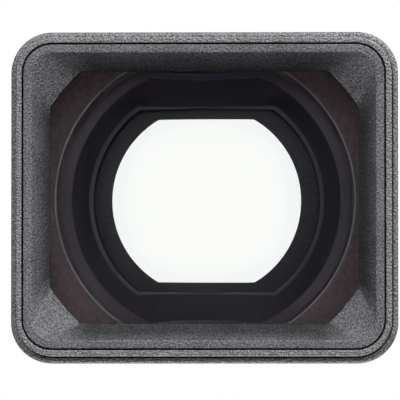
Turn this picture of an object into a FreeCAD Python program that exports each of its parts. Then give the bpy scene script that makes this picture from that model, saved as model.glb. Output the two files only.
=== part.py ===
import FreeCAD, Part
import math
import os
import re
import Sketcher
from FreeCAD import Placement, Rotation, Vector

# Wide-angle conversion lens for the front of a pocket camera, held by magnets.
#
# Every piece is modelled along the optical axis, with X to the right, Y up and Z towards
# the scene, and with Z = 0 on the face that seats on the camera. At the end each piece is
# turned upright, so that the glass faces -Y and +Z is up. All lengths are in millimetres.

# Driving sizes: name, value, what it is. Levels are heights above the seat face.
SIZES = (
    ("body_width", 30.0, "rear shell, width at its front edge"),
    ("body_height", 25.7, "rear shell, height at its front edge"),
    ("body_corner", 3.2, "rear shell, corner radius"),
    ("body_draft", 0.5, "rear shell, draft of the outside in degrees"),
    ("rear_edge", 0.5, "rear shell, radius of the outer rear edge"),
    ("lip_edge", 0.15, "rear shell, radius of the outer front edge"),
    ("front_stand", 2.7, "front face, ahead of the rear shell's front edge"),
    ("lip_height", 0.5, "rear shell lip that stands round the front shell"),
    ("shell_wall", 1.2, "rear shell wall at its front edge"),
    ("skirt_depth", 1.2, "rear shell skirt behind the seat face"),
    ("skirt_wall", 1.0, "rear shell skirt"),
    ("boss_diameter", 3.6, "screw bosses on the floor"),
    ("boss_height", 1.4, "screw bosses above the floor"),
    ("floor_web", 0.35, "floor left between a screw hole and a magnet pocket"),
    ("pilot_gap", 0.15, "screw hole beyond the screw's end"),
    ("front_inset_x", 0.37, "front shell, side inside that of the rear shell"),
    ("front_inset_y", 0.45, "front shell, top and bottom inside those of the rear shell"),
    ("front_corner", 2.8, "front shell, corner radius"),
    ("front_edge", 0.15, "radius of the outer front edges"),
    ("shell_gap", 0.1, "gap between the two shells"),
    ("spigot_depth", 0.7, "front shell spigot inside the rear shell"),
    ("rim_width", 0.51, "front shell rim"),
    ("groove_width", 0.15, "shadow groove between rim and hood"),
    ("land_width", 0.62, "flat land round the mouth of the hood"),
    ("hood_depth", 2.2, "hood, from its mouth to its throat"),
    ("slope_run_x", 1.4, "hood side walls, run from mouth to throat"),
    ("slope_run_y", 1.345, "hood top and bottom walls, run from mouth to throat"),
    ("throat_edge", 0.15, "hood edge over the gasket, at the middle of the long sides"),
    ("ledge_drop", 0.2, "ledge that carries the hood, behind the throat"),
    ("collar_depth", 0.7, "hood behind its ledge"),
    ("throat_cut_x", 2.4, "corner cut of the throat, along the width"),
    ("throat_cut_y", 2.87, "corner cut of the throat, along the height"),
    ("throat_vertex", 0.3, "radius at the eight corners of the throat"),
    ("throat_wall", 0.6, "hood wall behind the throat"),
    ("hood_gap", 0.1, "gap between hood and front shell opening"),
    ("hood_back_corner", 1.8, "corner radius of the hood behind its ledge"),
    ("gasket_thickness", 0.15, "gasket between hood and glass"),
    ("gasket_margin", 0.1, "gasket stands back from edges by this much"),
    ("lens_cover_x", 0.65, "front lens reaches beyond the throat, at the sides"),
    ("lens_cover_y", 0.525, "front lens reaches beyond the throat, at top and bottom"),
    ("lens_cover_corner", 0.5, "front lens reaches beyond the throat, at its corners"),
    ("front_lens_lift", 0.32, "front lens seat, ahead of the middle lens vertex"),
    ("front_lens_depth", 5.33, "front lens, from its seat to its front vertex"),
    ("front_lens_thickness", 1.2, "front lens at its centre"),
    ("front_lens_convex", 60.0, "front lens, front surface radius"),
    ("front_lens_concave", 18.0, "front lens, rear surface radius"),
    ("pair_depth", 3.55, "bonded rear pair, from its back to its front vertex"),
    ("middle_lens_thickness", 0.9, "middle lens at its centre"),
    ("middle_lens_convex", 32.0, "middle lens, front surface radius"),
    ("bond_radius", 28.0, "middle lens, rear surface radius"),
    ("bond_thickness", 0.02, "optical cement between the rear pair"),
    ("lens_gap", 0.03, "gap round every lens"),
    ("film_thickness", 0.1, "blackened stop films"),
    ("baffle_side", 1.83, "light baffle mouth inside the front lens, at the sides"),
    ("baffle_rise", 0.47, "light baffle mouth radius beyond half the front lens height"),
    ("baffle_flat", 0.92, "flats cut off the mouth of the light baffle"),
    ("baffle_taper", 0.62, "light baffle foot radius inside that of its mouth"),
    ("foot_flat", 1.95, "flats cut off the foot of the light baffle"),
    ("foot_bearing_x", 0.45, "nose wall round the foot, on the radius"),
    ("foot_bearing_y", 0.3, "nose wall round the foot, on the flats"),
    ("foot_lift", 0.1, "end of the baffle's slope, ahead of the spacer flange"),
    ("stop_margin_x", 2.19, "aperture stop, radius inside that of the rear pair"),
    ("stop_margin_y", 1.25, "aperture stop, flats inside those of the rear pair"),
    ("spacer_rim_x", 1.43, "front spacer round the baffle mouth, on the radius"),
    ("spacer_rim_y", 0.45, "front spacer round the baffle mouth, on the flats"),
    ("spacer_flange", 1.37, "front spacer flange"),
    ("spacer_nose", 0.7, "nose of the front spacer behind its flange"),
    ("barrel_gap", 0.15, "gap between barrel flange and rear shell"),
    ("barrel_wall", 0.5, "barrel wall round the front lens"),
    ("barrel_clearance", 0.1, "barrel's front end behind the front shell's spigot"),
    ("flange_drop", 0.77, "barrel flange rear face, behind the front lens seat"),
    ("shelf_thickness", 0.45, "barrel shelf behind the aperture stop"),
    ("shelf_margin_x", 1.4, "rear window, radius inside that of the rear pair"),
    ("shelf_margin_y", 0.6, "rear window, flats inside those of the rear pair"),
    ("flange_thickness", 1.0, "barrel flange"),
    ("drum_wall", 0.75, "barrel wall round the front spacer"),
    ("tube_wall", 1.0, "barrel wall round the rear pair"),
    ("floor_gap", 0.1, "gap between barrel and rear shell floor"),
    ("head_gap", 0.07, "gap between screw heads and the barrel wall"),
    ("screw_diameter", 1.2, "screw shank"),
    ("screw_head", 1.8, "screw head diameter"),
    ("screw_head_height", 0.7, "screw head"),
    ("screw_gap", 0.15, "gap between screw shank and flange hole, on diameter"),
    ("slot_width", 0.25, "cross recess of the screw head"),
    ("slot_length", 1.1, "cross recess of the screw head"),
    ("slot_depth", 0.35, "cross recess of the screw head"),
    ("magnet_diameter", 3.0, "magnet"),
    ("magnet_thickness", 1.5, "magnet"),
    ("magnet_edge", 0.15, "chamfer on the magnet edges"),
    ("magnet_gap", 0.05, "gap round and in front of a magnet"),
    ("magnet_inset", 2.5, "magnet centre from the walls of the skirt"),
    ("pad_thickness", 0.25, "soft seat pad"),
    ("plate_thickness", 0.5, "rear plate over the magnets"),
    ("plate_gap", 0.05, "gap between rear plate and skirt"),
    ("pad_margin", 0.4, "seat pad stands back from the window edge"),
)

# Sizes that follow from the driving ones
FRONT_WIDTH = "(body_width - 2 * front_inset_x)"
FRONT_HEIGHT = "(body_height - 2 * front_inset_y)"
REBATE_WIDTH = f"({FRONT_WIDTH} + 2 * shell_gap)"
REBATE_HEIGHT = f"({FRONT_HEIGHT} + 2 * shell_gap)"
REBATE_CORNER = "(front_corner + shell_gap)"
CAVITY_WIDTH = "(body_width - 2 * shell_wall)"
CAVITY_HEIGHT = "(body_height - 2 * shell_wall)"
CAVITY_CORNER = "(body_corner - shell_wall)"
RECESS_WIDTH = "(body_width - 2 * skirt_wall)"
RECESS_HEIGHT = "(body_height - 2 * skirt_wall)"
RECESS_CORNER = "(body_corner - skirt_wall)"
HOOD_WIDTH = f"({FRONT_WIDTH} - 2 * rim_width - 2 * groove_width)"
HOOD_HEIGHT = f"({FRONT_HEIGHT} - 2 * rim_width - 2 * groove_width)"
HOOD_CORNER = "(front_corner - rim_width - groove_width)"
MOUTH_WIDTH = f"({HOOD_WIDTH} - 2 * land_width)"
MOUTH_HEIGHT = f"({HOOD_HEIGHT} - 2 * land_width)"
THROAT_WIDTH = f"({MOUTH_WIDTH} - 2 * slope_run_x)"
THROAT_HEIGHT = f"({MOUTH_HEIGHT} - 2 * slope_run_y)"
HOOD_BACK_WIDTH = f"({THROAT_WIDTH} + 2 * throat_wall)"
HOOD_BACK_HEIGHT = f"({THROAT_HEIGHT} + 2 * throat_wall)"

# Outline of the front lens, which reaches past the throat on every side
LENS_WIDTH = f"({THROAT_WIDTH} + 2 * lens_cover_x)"
LENS_HEIGHT = f"({THROAT_HEIGHT} + 2 * lens_cover_y)"
SIDE_VERTEX = f"hypot({THROAT_WIDTH} / 2; {THROAT_HEIGHT} / 2 - throat_cut_y)"
TOP_VERTEX = f"hypot({THROAT_WIDTH} / 2 - throat_cut_x; {THROAT_HEIGHT} / 2)"
LENS_RADIUS = f"(max({SIDE_VERTEX}; {TOP_VERTEX}) + lens_cover_corner)"

# Bores behind the front lens, each a circle with flat top and bottom
BAFFLE_RADIUS = f"min({LENS_WIDTH} / 2 - baffle_side; {LENS_HEIGHT} / 2 + baffle_rise)"
BAFFLE_HEIGHT = f"(2 * {BAFFLE_RADIUS} - 2 * baffle_flat)"
FOOT_RADIUS = f"({BAFFLE_RADIUS} - baffle_taper)"
FOOT_HEIGHT = f"(2 * {FOOT_RADIUS} - 2 * foot_flat)"
SPACER_RADIUS = f"({BAFFLE_RADIUS} + spacer_rim_x)"
SPACER_HEIGHT = f"({BAFFLE_HEIGHT} + 2 * spacer_rim_y)"
PAIR_RADIUS = f"({FOOT_RADIUS} + foot_bearing_x)"
PAIR_HEIGHT = f"({FOOT_HEIGHT} + 2 * foot_bearing_y)"
STOP_RADIUS = f"({PAIR_RADIUS} - stop_margin_x)"
STOP_HEIGHT = f"({PAIR_HEIGHT} - 2 * stop_margin_y)"
WINDOW_RADIUS = f"({PAIR_RADIUS} - shelf_margin_x)"
WINDOW_HEIGHT = f"({PAIR_HEIGHT} - 2 * shelf_margin_y)"
TUBE_RADIUS = f"({PAIR_RADIUS} + lens_gap + tube_wall)"
TUBE_HEIGHT = f"({PAIR_HEIGHT} + 2 * lens_gap + 2 * tube_wall)"

# Levels, from the seat face towards the front
FLOOR_BACK = "(pad_thickness + plate_thickness)"
MAGNET_FRONT = f"({FLOOR_BACK} + magnet_thickness)"
PILOT_END = f"({MAGNET_FRONT} + magnet_gap + floor_web)"
BARREL_BACK = f"({FLOOR_BACK} + floor_gap)"
SHELF_FRONT = f"({BARREL_BACK} + shelf_thickness)"
PAIR_BACK = f"({SHELF_FRONT} + film_thickness)"
MIDDLE_LEVEL = f"({PAIR_BACK} + pair_depth)"
BOND_LEVEL = f"({MIDDLE_LEVEL} - middle_lens_thickness)"
LENS_SEAT = f"({MIDDLE_LEVEL} + front_lens_lift)"
LENS_LEVEL = f"({LENS_SEAT} + front_lens_depth)"
BOWL_LEVEL = f"({LENS_LEVEL} - front_lens_thickness)"
BOWL_DEPTH = "(front_lens_depth - front_lens_thickness)"
BOWL_REACH = f"sqrt({BOWL_DEPTH} * (2 * front_lens_concave - {BOWL_DEPTH}))"
BARREL_SEAT = f"({LENS_SEAT} - film_thickness)"
SPACER_LEVEL = f"({BARREL_SEAT} - spacer_flange)"
FOOT_LEVEL = f"({SPACER_LEVEL} + foot_lift)"
NOSE_BACK = f"({SPACER_LEVEL} - spacer_nose)"
FLANGE_LEVEL = f"({BARREL_SEAT} - flange_drop)"
FLANGE_FRONT = f"({FLANGE_LEVEL} + flange_thickness)"
FLOOR_LEVEL = f"({FLANGE_LEVEL} - boss_height)"
DRUM_BACK = f"({FLOOR_LEVEL} + floor_gap)"
GASKET_RADIUS = "(front_lens_convex + gasket_thickness)"
GASKET_VERTEX = f"({LENS_LEVEL} + gasket_thickness)"
GASKET_EDGE = f"({GASKET_VERTEX} - {GASKET_RADIUS} + sqrt({GASKET_RADIUS} ^ 2 - ({THROAT_HEIGHT} / 2) ^ 2))"
THROAT_LEVEL = f"({GASKET_EDGE} + throat_edge)"
FRONT_LEVEL = f"({THROAT_LEVEL} + hood_depth)"
HOOD_REST = f"({THROAT_LEVEL} - ledge_drop)"
HOOD_BACK = f"({HOOD_REST} - collar_depth)"
PARTING_LEVEL = f"({FRONT_LEVEL} - front_stand)"
REBATE_LEVEL = f"({PARTING_LEVEL} - lip_height)"
SPIGOT_LEVEL = f"({REBATE_LEVEL} - spigot_depth)"
BARREL_TOP = f"({SPIGOT_LEVEL} - barrel_clearance)"

# Barrel flange, and the screws and magnets in the corners
FLANGE_WIDTH = f"({CAVITY_WIDTH} - 2 * barrel_gap)"
FLANGE_HEIGHT = f"({CAVITY_HEIGHT} - 2 * barrel_gap)"
FLANGE_CORNER = f"({CAVITY_CORNER} - barrel_gap)"
SCREW_RING = f"({LENS_RADIUS} + lens_gap + barrel_wall + screw_head / 2 + head_gap)"
CORNER_X = f"({CAVITY_WIDTH} / 2 - {CAVITY_CORNER})"
CORNER_Y = f"({CAVITY_HEIGHT} / 2 - {CAVITY_CORNER})"
SCREW_X = f"({SCREW_RING} * {CORNER_X} / hypot({CORNER_X}; {CORNER_Y}))"
SCREW_Y = f"({SCREW_RING} * {CORNER_Y} / hypot({CORNER_X}; {CORNER_Y}))"
MAGNET_X = f"({RECESS_WIDTH} / 2 - magnet_inset)"
MAGNET_Y = f"({RECESS_HEIGHT} / 2 - magnet_inset)"

UPRIGHT = Placement(Vector(0, 0, 0), Rotation(Vector(1, 0, 0), 90))
AXIS = Vector(0, 0, 1)
START, END, CENTRE = range(1, 4)
LEVEL_AXIS, UPRIGHT_AXIS = range(-1, -3, -1)
ORIGIN = (LEVEL_AXIS, START)
QUADRANTS = ((1, 1), (-1, 1), (-1, -1), (1, -1))
CLOSE = 1e-6

document = FreeCAD.newDocument("WideAngleLens")
sheet = document.addObject("Spreadsheet::Sheet", "Sizes")
for row, (alias, value, note) in enumerate(SIZES, 1):
    sheet.set(f"A{row}", note)
    sheet.set(f"B{row}", str(value))
    sheet.setAlias(f"B{row}", alias)
document.recompute()

NAMES = {alias for alias, value, note in SIZES}
nodes = []


def tie(text):
    """Write a size expression with each name as a cell of the sheet."""
    return re.sub(r"[a-z_]+", lambda word: f"Sizes.{word[0]}" if word[0] in NAMES else word[0], text)


def measure(text):
    """Work out a size expression as a number."""
    result = sheet.evalExpression(tie(text))
    return float(getattr(result, "Value", result))


def new_body(name):
    """Start a piece."""
    body = document.addObject("PartDesign::Body", name)
    body.Label = name
    nodes.append(body)
    return body


def sketch_at(body, name, role, level=None):
    """Put an empty sketch on a plane of the body, at a level along the plane's normal."""
    sketch = body.newObject("Sketcher::SketchObject", name)
    plane = next(item for item in body.Origin.OriginFeatures if item.Role == role)
    sketch.AttachmentSupport = [(plane, "")]
    sketch.MapMode = "FlatFace"
    if level is not None:
        sketch.setExpression("AttachmentOffset.Base.z", tie(level))
    return sketch


def bind(sketch, constraint, text):
    """Add a constraint and bind its value to the sheet."""
    index = sketch.addConstraint(constraint)
    sketch.setExpression(f"Constraints[{index}]", tie(text))


def place(sketch, kind, point, text, negative=False):
    """Set how far a point lies from the origin, on its positive or its negative side."""
    first, second = (point, ORIGIN) if negative else (ORIGIN, point)
    bind(sketch, Sketcher.Constraint(kind, *first, *second, measure(text)), text)


def rounded_rectangle(sketch, width, height, corner):
    """Draw a rectangle with round corners, centred on the origin."""
    radius = measure(corner)
    reach_x = measure(width) / 2 - radius
    reach_y = measure(height) / 2 - radius
    arcs = []
    for number, (side_x, side_y) in enumerate(QUADRANTS):
        circle = Part.Circle(Vector(side_x * reach_x, side_y * reach_y, 0), AXIS, radius)
        quarter = math.pi / 2
        arcs.append(Part.ArcOfCircle(circle, number * quarter, (number + 1) * quarter))
    corners, sides = [], []
    for number, arc in enumerate(arcs):
        following = arcs[(number + 1) % len(arcs)]
        corners.append(sketch.addGeometry(arc))
        sides.append(sketch.addGeometry(Part.LineSegment(arc.EndPoint, following.StartPoint)))
    for number, side in enumerate(sides):
        following = corners[(number + 1) % len(corners)]
        direction = "Vertical" if number % 2 else "Horizontal"
        sketch.addConstraint(Sketcher.Constraint("Tangent", corners[number], END, side, START))
        sketch.addConstraint(Sketcher.Constraint("Tangent", side, END, following, START))
        sketch.addConstraint(Sketcher.Constraint(direction, side))
    for corner_arc in corners[1:]:
        sketch.addConstraint(Sketcher.Constraint("Equal", corners[0], corner_arc))
    top, left, bottom, right = sides
    sketch.addConstraint(Sketcher.Constraint("Symmetric", corners[0], CENTRE, corners[2], CENTRE, *ORIGIN))
    bind(sketch, Sketcher.Constraint("Radius", corners[0], radius), corner)
    bind(sketch, Sketcher.Constraint("DistanceX", left, START, right, START, measure(width)), width)
    bind(sketch, Sketcher.Constraint("DistanceY", bottom, START, top, START, measure(height)), height)


def cut_circle(sketch, radius, height, width=None):
    """Draw a circle that is cut flat at the top and bottom, and at the sides too if a width is given."""
    size = measure(radius)
    half_height = f"{height} / 2"
    rise = math.asin(measure(half_height) / size)
    if width:
        half_width = f"{width} / 2"
        lean = math.acos(measure(half_width) / size)
        turns = ((lean, rise), (math.pi - rise, math.pi - lean))
        turns += ((math.pi + lean, math.pi + rise), (2 * math.pi - rise, 2 * math.pi - lean))
        sides = ("top", "left", "bottom", "right")
    else:
        turns = ((-rise, rise), (math.pi - rise, math.pi + rise))
        sides = ("top", "bottom")
    circle = Part.Circle(Vector(0, 0, 0), AXIS, size)
    arcs = [Part.ArcOfCircle(circle, start, end) for start, end in turns]
    rounds, flats = [], []
    for number, arc in enumerate(arcs):
        following = arcs[(number + 1) % len(arcs)]
        rounds.append(sketch.addGeometry(arc))
        flats.append(sketch.addGeometry(Part.LineSegment(arc.EndPoint, following.StartPoint)))
    for number, side in enumerate(sides):
        arc, flat = rounds[number], flats[number]
        following = rounds[(number + 1) % len(rounds)]
        sketch.addConstraint(Sketcher.Constraint("Coincident", arc, CENTRE, *ORIGIN))
        sketch.addConstraint(Sketcher.Constraint("Coincident", arc, END, flat, START))
        sketch.addConstraint(Sketcher.Constraint("Coincident", flat, END, following, START))
        if number:
            sketch.addConstraint(Sketcher.Constraint("Equal", rounds[0], arc))
        if side in ("top", "bottom"):
            sketch.addConstraint(Sketcher.Constraint("Horizontal", flat))
            place(sketch, "DistanceY", (flat, START), half_height, side == "bottom")
        else:
            sketch.addConstraint(Sketcher.Constraint("Vertical", flat))
            place(sketch, "DistanceX", (flat, START), half_width, side == "left")
    bind(sketch, Sketcher.Constraint("Radius", rounds[0], size), radius)


def cornered_rectangle(sketch, width, height, cut_x, cut_y):
    """Draw a rectangle whose four corners are cut off straight."""
    half_width, half_height = f"{width} / 2", f"{height} / 2"
    flat_x, flat_y = f"({half_width} - {cut_x})", f"({half_height} - {cut_y})"
    points = []
    for number, (side_x, side_y) in enumerate(QUADRANTS):
        on_side = Vector(side_x * measure(half_width), side_y * measure(flat_y), 0)
        on_top = Vector(side_x * measure(flat_x), side_y * measure(half_height), 0)
        points += [on_top, on_side] if number % 2 else [on_side, on_top]
    lines = []
    for number, point in enumerate(points):
        following = points[(number + 1) % len(points)]
        lines.append(sketch.addGeometry(Part.LineSegment(point, following)))
    for number, line in enumerate(lines):
        following = lines[(number + 1) % len(lines)]
        sketch.addConstraint(Sketcher.Constraint("Coincident", line, END, following, START))
    top, left, bottom, right = lines[1::2]
    for line, negative in ((top, False), (bottom, True)):
        sketch.addConstraint(Sketcher.Constraint("Horizontal", line))
        place(sketch, "DistanceY", (line, START), half_height, negative)
        place(sketch, "DistanceX", (line, START), flat_x, negative)
        place(sketch, "DistanceX", (line, END), flat_x, not negative)
    for line, negative in ((left, True), (right, False)):
        sketch.addConstraint(Sketcher.Constraint("Vertical", line))
        place(sketch, "DistanceX", (line, START), half_width, negative)
        place(sketch, "DistanceY", (line, START), flat_y, not negative)
        place(sketch, "DistanceY", (line, END), flat_y, negative)


def circle_at(sketch, diameter, place_x, place_y, side_x=1, side_y=1):
    """Draw a circle at a place in one quadrant."""
    centre = Vector(side_x * measure(place_x), side_y * measure(place_y), 0)
    circle = sketch.addGeometry(Part.Circle(centre, AXIS, measure(diameter) / 2))
    bind(sketch, Sketcher.Constraint("Diameter", circle, measure(diameter)), diameter)
    place(sketch, "DistanceX", (circle, CENTRE), place_x, side_x < 0)
    place(sketch, "DistanceY", (circle, CENTRE), place_y, side_y < 0)


def dome(sketch, radius, vertex, reach, edge):
    """Draw half the section between a sphere and a level plane, out to a given reach."""
    size, top, out, level = (measure(text) for text in (radius, vertex, reach, edge))
    centre = Vector(0, top - size, 0)
    angle = math.acos(out / size)
    cap = sketch.addGeometry(Part.ArcOfCircle(Part.Circle(centre, AXIS, size), angle, math.pi / 2))
    rim = Vector(out, centre.y + size * math.sin(angle), 0)
    corner, axis_end = Vector(out, level, 0), Vector(0, level, 0)
    side = sketch.addGeometry(Part.LineSegment(rim, corner))
    base = sketch.addGeometry(Part.LineSegment(corner, axis_end))
    spine = sketch.addGeometry(Part.LineSegment(axis_end, Vector(0, top, 0)))
    sketch.addConstraint(Sketcher.Constraint("PointOnObject", cap, CENTRE, UPRIGHT_AXIS))
    sketch.addConstraint(Sketcher.Constraint("PointOnObject", cap, END, UPRIGHT_AXIS))
    sketch.addConstraint(Sketcher.Constraint("Coincident", cap, START, side, START))
    sketch.addConstraint(Sketcher.Constraint("Coincident", side, END, base, START))
    sketch.addConstraint(Sketcher.Constraint("Coincident", base, END, spine, START))
    sketch.addConstraint(Sketcher.Constraint("Coincident", spine, END, cap, END))
    sketch.addConstraint(Sketcher.Constraint("Vertical", side))
    sketch.addConstraint(Sketcher.Constraint("Horizontal", base))
    sketch.addConstraint(Sketcher.Constraint("Vertical", spine))
    bind(sketch, Sketcher.Constraint("Radius", cap, size), radius)
    place(sketch, "DistanceY", (cap, END), vertex)
    place(sketch, "DistanceX", (cap, START), reach)
    place(sketch, "DistanceY", (base, START), edge)


def pad(body, name, low, high, draw, *details):
    """Raise an outline from a low level to a high one."""
    sketch = sketch_at(body, f"{name}_outline", "XY_Plane", low)
    draw(sketch, *details)
    feature = body.newObject("PartDesign::Pad", name)
    feature.Profile = sketch
    feature.setExpression("Length", tie(f"{high} - {low}"))
    return feature


def pocket(body, name, high, low, draw, *details):
    """Sink an outline from a high level to a low one."""
    sketch = sketch_at(body, f"{name}_outline", "XY_Plane", high)
    draw(sketch, *details)
    feature = body.newObject("PartDesign::Pocket", name)
    feature.Profile = sketch
    feature.setExpression("Length", tie(f"{high} - {low}"))
    return feature


def hollow(body, name, radius, vertex, reach, edge):
    """Turn away what lies between a sphere and a level plane."""
    sketch = sketch_at(body, f"{name}_section", "XZ_Plane")
    dome(sketch, radius, vertex, reach, edge)
    feature = body.newObject("PartDesign::Groove", name)
    feature.Profile = sketch
    feature.ReferenceAxis = (sketch, ["V_Axis"])
    return feature


def funnel(body, name, mouth, foot):
    """Sink a straight-sided loft from a mouth to a foot, each given as a level and an outline."""
    sections = []
    for end, (level, draw, *details) in (("mouth", mouth), ("foot", foot)):
        sketch = sketch_at(body, f"{name}_{end}", "XY_Plane", level)
        draw(sketch, *details)
        sections.append(sketch)
    feature = body.newObject("PartDesign::SubtractiveLoft", name)
    feature.Profile = sections[0]
    feature.Sections = sections[1:]
    feature.Ruled = True
    return feature


def level_edges(feature, level):
    """Name the edges round the widest flat face at a level."""
    height = measure(level)
    faces = [face for face in feature.Shape.Faces if abs(face.BoundBox.ZMin - height) < CLOSE
             and abs(face.BoundBox.ZMax - height) < CLOSE]
    face = max(faces, key=lambda item: item.BoundBox.DiagonalLength)
    return [f"Edge{number}" for number, edge in enumerate(feature.Shape.Edges, 1)
            if any(edge.isSame(other) for other in face.OuterWire.Edges)]


def dress(body, kind, name, base, edges, size):
    """Round or chamfer named edges of a feature."""
    feature = body.newObject(f"PartDesign::{kind}", name)
    feature.Base = (base, edges)
    feature.setExpression("Radius" if kind == "Fillet" else "Size", tie(size))
    return feature


def rear_shell():
    """Moulded rear shell: drafted walls, skirt, floor, screw bosses and magnet pockets."""
    body = new_body("rear_shell")
    sketch = sketch_at(body, "shell_outline", "XY_Plane", PARTING_LEVEL)
    rounded_rectangle(sketch, "body_width", "body_height", "body_corner")
    shell = body.newObject("PartDesign::Pad", "shell")
    shell.Profile = sketch
    shell.Reversed = True
    shell.setExpression("Length", tie(f"{PARTING_LEVEL} + skirt_depth"))
    shell.setExpression("TaperAngle", tie("-body_draft"))
    document.recompute()
    lip = dress(body, "Fillet", "lip_round", shell, level_edges(shell, PARTING_LEVEL), "lip_edge")
    document.recompute()
    dress(body, "Fillet", "rear_round", lip, level_edges(lip, "-skirt_depth"), "rear_edge")
    pocket(body, "rebate", PARTING_LEVEL, REBATE_LEVEL,
           rounded_rectangle, REBATE_WIDTH, REBATE_HEIGHT, REBATE_CORNER)
    pocket(body, "cavity", REBATE_LEVEL, FLOOR_LEVEL,
           rounded_rectangle, CAVITY_WIDTH, CAVITY_HEIGHT, CAVITY_CORNER)
    pocket(body, "recess", FLOOR_BACK, "(-skirt_depth)",
           rounded_rectangle, RECESS_WIDTH, RECESS_HEIGHT, RECESS_CORNER)
    pocket(body, "floor_opening", FLOOR_LEVEL, FLOOR_BACK,
           cut_circle, f"({TUBE_RADIUS} + floor_gap)", f"({TUBE_HEIGHT} + 2 * floor_gap)")
    for side_x, side_y in QUADRANTS:
        pad(body, "boss", FLOOR_LEVEL, FLANGE_LEVEL,
            circle_at, "boss_diameter", SCREW_X, SCREW_Y, side_x, side_y)
        pocket(body, "pilot", FLANGE_LEVEL, PILOT_END,
               circle_at, "screw_diameter", SCREW_X, SCREW_Y, side_x, side_y)
        pocket(body, "magnet_pocket", f"({MAGNET_FRONT} + magnet_gap)", FLOOR_BACK,
               circle_at, "(magnet_diameter + 2 * magnet_gap)", MAGNET_X, MAGNET_Y, side_x, side_y)


def front_shell():
    """Moulded front shell: rim round the hood, ledge that carries it, spigot into the rear shell."""
    body = new_body("front_shell")
    rim = pad(body, "rim", REBATE_LEVEL, FRONT_LEVEL,
              rounded_rectangle, FRONT_WIDTH, FRONT_HEIGHT, "front_corner")
    document.recompute()
    dress(body, "Fillet", "rim_round", rim, level_edges(rim, FRONT_LEVEL), "front_edge")
    pad(body, "spigot", SPIGOT_LEVEL, REBATE_LEVEL, rounded_rectangle, f"({CAVITY_WIDTH} - 2 * shell_gap)",
        f"({CAVITY_HEIGHT} - 2 * shell_gap)", f"({CAVITY_CORNER} - shell_gap)")
    pocket(body, "hood_seat", FRONT_LEVEL, HOOD_REST,
           rounded_rectangle, f"({FRONT_WIDTH} - 2 * rim_width)", f"({FRONT_HEIGHT} - 2 * rim_width)",
           "(front_corner - rim_width)")
    pocket(body, "opening", HOOD_REST, SPIGOT_LEVEL,
           rounded_rectangle, f"({HOOD_BACK_WIDTH} + 2 * hood_gap)", f"({HOOD_BACK_HEIGHT} + 2 * hood_gap)",
           "(hood_back_corner + hood_gap)")


def hood():
    """Hood: flat land, straight-sided funnel to a throat with cut corners, back that follows the glass."""
    body = new_body("hood")
    frame = pad(body, "frame", HOOD_REST, FRONT_LEVEL,
                rounded_rectangle, HOOD_WIDTH, HOOD_HEIGHT, HOOD_CORNER)
    document.recompute()
    dress(body, "Fillet", "frame_round", frame, level_edges(frame, FRONT_LEVEL), "front_edge")
    pad(body, "collar", HOOD_BACK, HOOD_REST,
        rounded_rectangle, HOOD_BACK_WIDTH, HOOD_BACK_HEIGHT, "hood_back_corner")
    throat = (cornered_rectangle, THROAT_WIDTH, THROAT_HEIGHT, "throat_cut_x", "throat_cut_y")
    mouth = (rounded_rectangle, MOUTH_WIDTH, MOUTH_HEIGHT, f"({HOOD_CORNER} - land_width)")
    pocket(body, "throat", THROAT_LEVEL, HOOD_BACK, *throat)
    slope = funnel(body, "slope", (FRONT_LEVEL, *mouth), (THROAT_LEVEL, *throat))
    document.recompute()
    edges = throat_edges(slope)
    dress(body, "Fillet", "throat_round", slope, edges, "throat_vertex")
    hollow(body, "glass_side", GASKET_RADIUS, GASKET_VERTEX, f"({LENS_RADIUS} + hood_gap)",
           f"({HOOD_BACK} - hood_depth)")


def throat_edges(feature):
    """Name the edges of the throat that run along the axis."""
    top = measure(THROAT_LEVEL)
    names = []
    for number, edge in enumerate(feature.Shape.Edges, 1):
        box = edge.BoundBox
        upright = box.XLength < CLOSE and box.YLength < CLOSE
        if upright and abs(box.ZMax - top) < CLOSE:
            names.append(f"Edge{number}")
    return names


def hood_gasket():
    """Thin black gasket, bedded between the hood and the domed front of the glass."""
    body = new_body("hood_gasket")
    pad(body, "band", f"({LENS_SEAT} + gasket_margin)", GASKET_VERTEX, cut_circle,
        f"({LENS_RADIUS} - gasket_margin)", f"({LENS_HEIGHT} - 2 * gasket_margin)",
        f"({LENS_WIDTH} - 2 * gasket_margin)")
    pocket(body, "window", GASKET_VERTEX, f"({LENS_SEAT} + gasket_margin)", cornered_rectangle,
           f"({THROAT_WIDTH} + 2 * gasket_margin)", f"({THROAT_HEIGHT} + 2 * gasket_margin)",
           "throat_cut_x", "throat_cut_y")
    hollow(body, "glass_face", "front_lens_convex", LENS_LEVEL, LENS_RADIUS, LENS_SEAT)
    hollow(body, "hood_face", GASKET_RADIUS, GASKET_VERTEX, LENS_RADIUS,
           f"({GASKET_VERTEX} + gasket_thickness)")


def front_lens():
    """Front lens: negative meniscus, cut flat on four sides, deep bowl behind with a flat annulus."""
    body = new_body("front_lens")
    pad(body, "blank", LENS_SEAT, f"({LENS_LEVEL} + lens_gap)", cut_circle,
        LENS_RADIUS, LENS_HEIGHT, LENS_WIDTH)
    hollow(body, "front_dome", "front_lens_convex", LENS_LEVEL, f"({LENS_RADIUS} + lens_gap)",
           f"({LENS_LEVEL} + front_lens_thickness)")
    hollow(body, "rear_bowl", "front_lens_concave", BOWL_LEVEL,
           f"({BOWL_REACH} + lens_gap)", f"({LENS_SEAT} - front_lens_thickness)")


def front_stop():
    """Blackened film under the front lens, with the opening of the light baffle."""
    body = new_body("front_stop")
    pad(body, "film", BARREL_SEAT, LENS_SEAT, cut_circle,
        f"({LENS_RADIUS} - lens_gap)", f"({LENS_HEIGHT} - 2 * lens_gap)",
        f"({LENS_WIDTH} - 2 * lens_gap)")
    pocket(body, "opening", LENS_SEAT, BARREL_SEAT, cut_circle, BAFFLE_RADIUS, BAFFLE_HEIGHT)


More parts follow.
